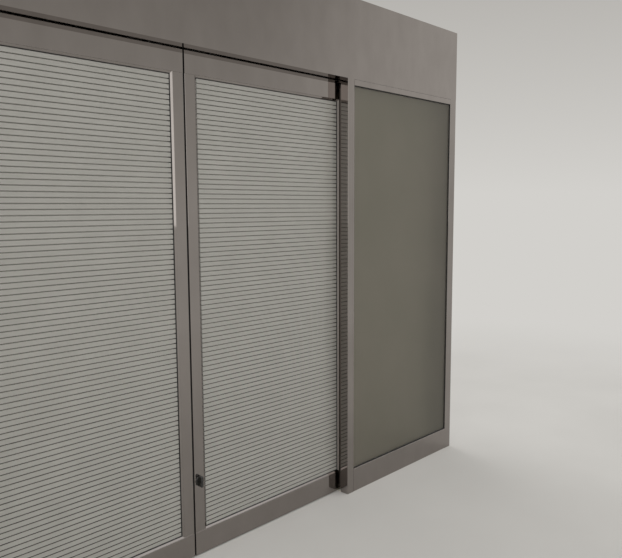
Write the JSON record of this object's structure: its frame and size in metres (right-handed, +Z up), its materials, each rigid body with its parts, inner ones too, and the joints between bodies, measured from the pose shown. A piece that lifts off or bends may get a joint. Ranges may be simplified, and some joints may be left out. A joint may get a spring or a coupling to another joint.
{
  "type": "sliding glass entrance door",
  "caption": "Sliding glass entrance door in polished steel: striped leaves that part in the middle, a tall header, slim posts and fixed frosted sidelights.",
  "frame": {"origin": "on the floor, in the middle of the frame's width and depth", "axes": "+X along the door to the right as seen from the room, +Y through the door away from the room, +Z up"},
  "size_m": [3.92, 0.18, 2.6],
  "materials": {
    "polished_stainless": "mirror polished stainless steel",
    "clear_glass": "clear toughened glass",
    "frosted_glass": "etched glass",
    "translucent_film": "translucent film",
    "black_rubber": "matt",
    "belt_rubber": "matt",
    "zinc_steel": "zinc plated",
    "anodised_aluminium": "satin anodised",
    "nylon": "moulded nylon",
    "black_paint": "black enamel",
    "grey_plastic": "moulded",
    "black_lock": "black lacquer"
  },
  "bodies": {
    "frame": {"jamb_right": "polished_stainless", "jamb_left": "polished_stainless", "post_right": "polished_stainless", "post_left": "polished_stainless", "sill_rail_right": "polished_stainless", "sill_rail_left": "polished_stainless", "head_rail_right": "polished_stainless", "head_rail_left": "polished_stainless", "side_glass_right": "frosted_glass", "side_glass_left": "frosted_glass", "side_seal_right": "black_rubber", "side_seal_left": "black_rubber", "header_beam": "anodised_aluminium", "header_fascia": "polished_stainless", "header_end_caps": "polished_stainless", "header_screws": "zinc_steel", "track_rail": "anodised_aluminium", "track_stops": "zinc_steel", "drive_motor": "black_paint", "idler_bracket": "zinc_steel", "drive_belt": "belt_rubber", "control_unit": "grey_plastic", "floor_guides": "nylon"},
    "right_leaf": {"leading_stile_right": "polished_stainless", "trailing_stile_right": "polished_stainless", "top_rail_right": "polished_stainless", "bottom_rail_right": "polished_stainless", "leaf_glass_right": "clear_glass", "film_bands_right": "translucent_film", "glazing_beads_right": "polished_stainless", "glass_gaskets_right": "black_rubber", "meeting_seal_right": "black_rubber", "hangers_right": "zinc_steel", "lock_rose": "black_lock", "lock_case": "zinc_steel"},
    "left_leaf": {"leading_stile_left": "polished_stainless", "trailing_stile_left": "polished_stainless", "top_rail_left": "polished_stainless", "bottom_rail_left": "polished_stainless", "leaf_glass_left": "clear_glass", "film_bands_left": "translucent_film", "glazing_beads_left": "polished_stainless", "glass_gaskets_left": "black_rubber", "meeting_seal_left": "black_rubber", "hangers_left": "zinc_steel", "lock_keeper": "zinc_steel"},
    "drive_pulley": {"drive_pulley": "anodised_aluminium"},
    "idler_pulley": {"idler_pulley": "anodised_aluminium"},
    "lock_turn": {"thumb_turn": "black_lock", "hook_bolt": "zinc_steel"},
    "right_wheel_1": {"wheel_1_right": "nylon"},
    "right_wheel_2": {"wheel_2_right": "nylon"},
    "right_wheel_3": {"wheel_3_right": "nylon"},
    "right_wheel_4": {"wheel_4_right": "nylon"},
    "left_wheel_1": {"wheel_1_left": "nylon"},
    "left_wheel_2": {"wheel_2_left": "nylon"},
    "left_wheel_3": {"wheel_3_left": "nylon"},
    "left_wheel_4": {"wheel_4_left": "nylon"}
  },
  "joints": [
    {"name": "right_leaf_slide", "type": "slide", "parent": "frame", "child": "right_leaf", "axis": [1, 0, 0], "range_m": [0, 0.88]},
    {"name": "left_leaf_slide", "type": "slide", "parent": "frame", "child": "left_leaf", "axis": [-1, 0, 0], "range_m": [0, 0.88]},
    {"name": "right_wheel_1_turn", "type": "hinge", "parent": "right_leaf", "child": "right_wheel_1", "pos_m": [0.1, 0, 2.2883], "axis": [0, 1, 0], "continuous": true},
    {"name": "right_wheel_2_turn", "type": "hinge", "parent": "right_leaf", "child": "right_wheel_2", "pos_m": [0.2, 0, 2.2883], "axis": [0, 1, 0], "continuous": true},
    {"name": "right_wheel_3_turn", "type": "hinge", "parent": "right_leaf", "child": "right_wheel_3", "pos_m": [0.814, 0, 2.2883], "axis": [0, 1, 0], "continuous": true},
    {"name": "right_wheel_4_turn", "type": "hinge", "parent": "right_leaf", "child": "right_wheel_4", "pos_m": [0.914, 0, 2.2883], "axis": [0, 1, 0], "continuous": true},
    {"name": "left_wheel_1_turn", "type": "hinge", "parent": "left_leaf", "child": "left_wheel_1", "pos_m": [-0.1, 0, 2.2883], "axis": [0, 1, 0], "continuous": true},
    {"name": "left_wheel_2_turn", "type": "hinge", "parent": "left_leaf", "child": "left_wheel_2", "pos_m": [-0.2, 0, 2.2883], "axis": [0, 1, 0], "continuous": true},
    {"name": "left_wheel_3_turn", "type": "hinge", "parent": "left_leaf", "child": "left_wheel_3", "pos_m": [-0.814, 0, 2.2883], "axis": [0, 1, 0], "continuous": true},
    {"name": "left_wheel_4_turn", "type": "hinge", "parent": "left_leaf", "child": "left_wheel_4", "pos_m": [-0.914, 0, 2.2883], "axis": [0, 1, 0], "continuous": true},
    {"name": "drive_pulley_turn", "type": "hinge", "parent": "frame", "child": "drive_pulley", "pos_m": [-1.25, 0, 2.365], "axis": [0, 1, 0], "continuous": true},
    {"name": "idler_pulley_turn", "type": "hinge", "parent": "frame", "child": "idler_pulley", "pos_m": [1.25, 0, 2.365], "axis": [0, 1, 0], "continuous": true},
    {"name": "thumb_turn_swing", "type": "hinge", "parent": "right_leaf", "child": "lock_turn", "pos_m": [0.03, 0, 0.345], "axis": [0, -1, 0], "range_deg": [0, 90]}
  ],
  "couplings": [
    {"joint": "left_leaf_slide", "follows": "right_leaf_slide", "ratio": 1},
    {"joint": "right_wheel_1_turn", "follows": "right_leaf_slide", "rad_per_m": 45.455},
    {"joint": "right_wheel_2_turn", "follows": "right_leaf_slide", "rad_per_m": 45.455},
    {"joint": "right_wheel_3_turn", "follows": "right_leaf_slide", "rad_per_m": 45.455},
    {"joint": "right_wheel_4_turn", "follows": "right_leaf_slide", "rad_per_m": 45.455},
    {"joint": "left_wheel_1_turn", "follows": "right_leaf_slide", "rad_per_m": -45.455},
    {"joint": "left_wheel_2_turn", "follows": "right_leaf_slide", "rad_per_m": -45.455},
    {"joint": "left_wheel_3_turn", "follows": "right_leaf_slide", "rad_per_m": -45.455},
    {"joint": "left_wheel_4_turn", "follows": "right_leaf_slide", "rad_per_m": -45.455},
    {"joint": "drive_pulley_turn", "follows": "right_leaf_slide", "rad_per_m": 31.447},
    {"joint": "idler_pulley_turn", "follows": "right_leaf_slide", "rad_per_m": 31.447}
  ]
}
